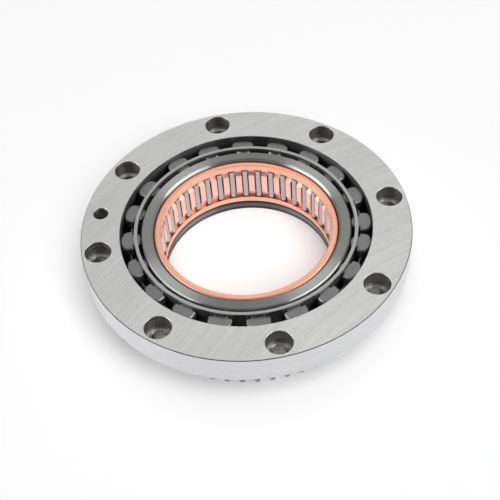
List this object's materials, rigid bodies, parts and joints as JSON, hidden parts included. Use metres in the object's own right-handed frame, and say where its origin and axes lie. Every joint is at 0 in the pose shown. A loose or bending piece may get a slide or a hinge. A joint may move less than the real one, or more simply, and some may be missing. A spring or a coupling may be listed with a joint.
{
  "type": "starter clutch",
  "caption": "Sprag-type one-way starter clutch: flanged outer race with counterbored bolt holes, caged sprags, and a starter gear whose hub runs on a copper-coloured needle bearing.",
  "frame": {"origin": "on the clutch's axis, in the plane of the hub's lower face, on which it rests", "axes": "+Z along the axis, from the starter gear towards the counterbored face of the flange; +X close to one bolt hole, which lies 8.5 degrees counter-clockwise from it"},
  "size_m": [0.131, 0.131, 0.0285],
  "materials": {
    "ground_steel": "surface-ground steel with fine straight grinding lines",
    "gear_steel": "turned and case-hardened steel, smooth ground hub",
    "cage_steel": "satin sheet steel",
    "spring_steel": "drawn spring wire",
    "sprag_steel": "satin tumbled bearing steel",
    "roller_steel": "polished bearing steel",
    "copper_plate": "satin copper plating on steel"
  },
  "bodies": {
    "outer_ring": {"outer_ring": "ground_steel"},
    "driven_gear": {"driven_gear": "gear_steel"},
    "needle_bearing": {"needle_cage": "copper_plate", "needle_rollers": "roller_steel"},
    "sprag_cage": {"sprag_cage": "cage_steel", "garter_spring": "spring_steel"},
    "sprag_01": {"sprag_01": "sprag_steel"},
    "sprag_02": {"sprag_02": "sprag_steel"},
    "sprag_03": {"sprag_03": "sprag_steel"},
    "sprag_04": {"sprag_04": "sprag_steel"},
    "sprag_05": {"sprag_05": "sprag_steel"},
    "sprag_06": {"sprag_06": "sprag_steel"},
    "sprag_07": {"sprag_07": "sprag_steel"},
    "sprag_08": {"sprag_08": "sprag_steel"},
    "sprag_09": {"sprag_09": "sprag_steel"},
    "sprag_10": {"sprag_10": "sprag_steel"},
    "sprag_11": {"sprag_11": "sprag_steel"},
    "sprag_12": {"sprag_12": "sprag_steel"},
    "sprag_13": {"sprag_13": "sprag_steel"},
    "sprag_14": {"sprag_14": "sprag_steel"},
    "sprag_15": {"sprag_15": "sprag_steel"},
    "sprag_16": {"sprag_16": "sprag_steel"},
    "sprag_17": {"sprag_17": "sprag_steel"},
    "sprag_18": {"sprag_18": "sprag_steel"},
    "sprag_19": {"sprag_19": "sprag_steel"},
    "sprag_20": {"sprag_20": "sprag_steel"}
  },
  "joints": [
    {"name": "gear_spin", "type": "hinge", "parent": "outer_ring", "child": "driven_gear", "pos_m": [0, 0, 0], "axis": [0, 0, 1], "range_deg": [-360, 0]},
    {"name": "needle_cage_spin", "type": "hinge", "parent": "driven_gear", "child": "needle_bearing", "pos_m": [0, 0, 0.01595], "axis": [0, 0, 1], "range_deg": [0, 173]},
    {"name": "sprag_cage_spin", "type": "hinge", "parent": "outer_ring", "child": "sprag_cage", "pos_m": [0, 0, 0.0215], "axis": [0, 0, 1], "range_deg": [-360, 0]},
    {"name": "sprag_01_tilt", "type": "hinge", "parent": "sprag_cage", "child": "sprag_01", "pos_m": [0.04346, -0.00111, 0.0215], "axis": [0, 0, 1], "range_deg": [0, 5]},
    {"name": "sprag_02_tilt", "type": "hinge", "parent": "sprag_cage", "child": "sprag_02", "pos_m": [0.04167, 0.01238, 0.0215], "axis": [0, 0, 1], "range_deg": [0, 5]},
    {"name": "sprag_03_tilt", "type": "hinge", "parent": "sprag_cage", "child": "sprag_03", "pos_m": [0.03581, 0.02465, 0.0215], "axis": [0, 0, 1], "range_deg": [0, 5]},
    {"name": "sprag_04_tilt", "type": "hinge", "parent": "sprag_cage", "child": "sprag_04", "pos_m": [0.02644, 0.03451, 0.0215], "axis": [0, 0, 1], "range_deg": [0, 5]},
    {"name": "sprag_05_tilt", "type": "hinge", "parent": "sprag_cage", "child": "sprag_05", "pos_m": [0.01448, 0.04099, 0.0215], "axis": [0, 0, 1], "range_deg": [0, 5]},
    {"name": "sprag_06_tilt", "type": "hinge", "parent": "sprag_cage", "child": "sprag_06", "pos_m": [0.00111, 0.04346, 0.0215], "axis": [0, 0, 1], "range_deg": [0, 5]},
    {"name": "sprag_07_tilt", "type": "hinge", "parent": "sprag_cage", "child": "sprag_07", "pos_m": [-0.01238, 0.04167, 0.0215], "axis": [0, 0, 1], "range_deg": [0, 5]},
    {"name": "sprag_08_tilt", "type": "hinge", "parent": "sprag_cage", "child": "sprag_08", "pos_m": [-0.02465, 0.03581, 0.0215], "axis": [0, 0, 1], "range_deg": [0, 5]},
    {"name": "sprag_09_tilt", "type": "hinge", "parent": "sprag_cage", "child": "sprag_09", "pos_m": [-0.03639, 0.02378, 0.0215], "axis": [0, 0, 1], "range_deg": [0, 5]},
    {"name": "sprag_10_tilt", "type": "hinge", "parent": "sprag_cage", "child": "sprag_10", "pos_m": [-0.04196, 0.01137, 0.0215], "axis": [0, 0, 1], "range_deg": [0, 5]},
    {"name": "sprag_11_tilt", "type": "hinge", "parent": "sprag_cage", "child": "sprag_11", "pos_m": [-0.04342, -0.00216, 0.0215], "axis": [0, 0, 1], "range_deg": [0, 5]},
    {"name": "sprag_12_tilt", "type": "hinge", "parent": "sprag_cage", "child": "sprag_12", "pos_m": [-0.04063, -0.01547, 0.0215], "axis": [0, 0, 1], "range_deg": [0, 5]},
    {"name": "sprag_13_tilt", "type": "hinge", "parent": "sprag_cage", "child": "sprag_13", "pos_m": [-0.03386, -0.02726, 0.0215], "axis": [0, 0, 1], "range_deg": [0, 5]},
    {"name": "sprag_14_tilt", "type": "hinge", "parent": "sprag_cage", "child": "sprag_14", "pos_m": [-0.02378, -0.03639, 0.0215], "axis": [0, 0, 1], "range_deg": [0, 5]},
    {"name": "sprag_15_tilt", "type": "hinge", "parent": "sprag_cage", "child": "sprag_15", "pos_m": [-0.01137, -0.04196, 0.0215], "axis": [0, 0, 1], "range_deg": [0, 5]},
    {"name": "sprag_16_tilt", "type": "hinge", "parent": "sprag_cage", "child": "sprag_16", "pos_m": [0.00216, -0.04342, 0.0215], "axis": [0, 0, 1], "range_deg": [0, 5]},
    {"name": "sprag_17_tilt", "type": "hinge", "parent": "sprag_cage", "child": "sprag_17", "pos_m": [0.01547, -0.04063, 0.0215], "axis": [0, 0, 1], "range_deg": [0, 5]},
    {"name": "sprag_18_tilt", "type": "hinge", "parent": "sprag_cage", "child": "sprag_18", "pos_m": [0.02726, -0.03386, 0.0215], "axis": [0, 0, 1], "range_deg": [0, 5]},
    {"name": "sprag_19_tilt", "type": "hinge", "parent": "sprag_cage", "child": "sprag_19", "pos_m": [0.03639, -0.02378, 0.0215], "axis": [0, 0, 1], "range_deg": [0, 5]},
    {"name": "sprag_20_tilt", "type": "hinge", "parent": "sprag_cage", "child": "sprag_20", "pos_m": [0.04196, -0.01137, 0.0215], "axis": [0, 0, 1], "range_deg": [0, 5]}
  ],
  "couplings": [
    {"joint": "needle_cage_spin", "follows": "gear_spin", "ratio": -0.47887},
    {"joint": "sprag_02_tilt", "follows": "sprag_01_tilt", "ratio": 1},
    {"joint": "sprag_03_tilt", "follows": "sprag_01_tilt", "ratio": 1},
    {"joint": "sprag_04_tilt", "follows": "sprag_01_tilt", "ratio": 1},
    {"joint": "sprag_05_tilt", "follows": "sprag_01_tilt", "ratio": 1},
    {"joint": "sprag_06_tilt", "follows": "sprag_01_tilt", "ratio": 1},
    {"joint": "sprag_07_tilt", "follows": "sprag_01_tilt", "ratio": 1},
    {"joint": "sprag_08_tilt", "follows": "sprag_01_tilt", "ratio": 1},
    {"joint": "sprag_09_tilt", "follows": "sprag_01_tilt", "ratio": 1},
    {"joint": "sprag_10_tilt", "follows": "sprag_01_tilt", "ratio": 1},
    {"joint": "sprag_11_tilt", "follows": "sprag_01_tilt", "ratio": 1},
    {"joint": "sprag_12_tilt", "follows": "sprag_01_tilt", "ratio": 1},
    {"joint": "sprag_13_tilt", "follows": "sprag_01_tilt", "ratio": 1},
    {"joint": "sprag_14_tilt", "follows": "sprag_01_tilt", "ratio": 1},
    {"joint": "sprag_15_tilt", "follows": "sprag_01_tilt", "ratio": 1},
    {"joint": "sprag_16_tilt", "follows": "sprag_01_tilt", "ratio": 1},
    {"joint": "sprag_17_tilt", "follows": "sprag_01_tilt", "ratio": 1},
    {"joint": "sprag_18_tilt", "follows": "sprag_01_tilt", "ratio": 1},
    {"joint": "sprag_19_tilt", "follows": "sprag_01_tilt", "ratio": 1},
    {"joint": "sprag_20_tilt", "follows": "sprag_01_tilt", "ratio": 1}
  ]
}
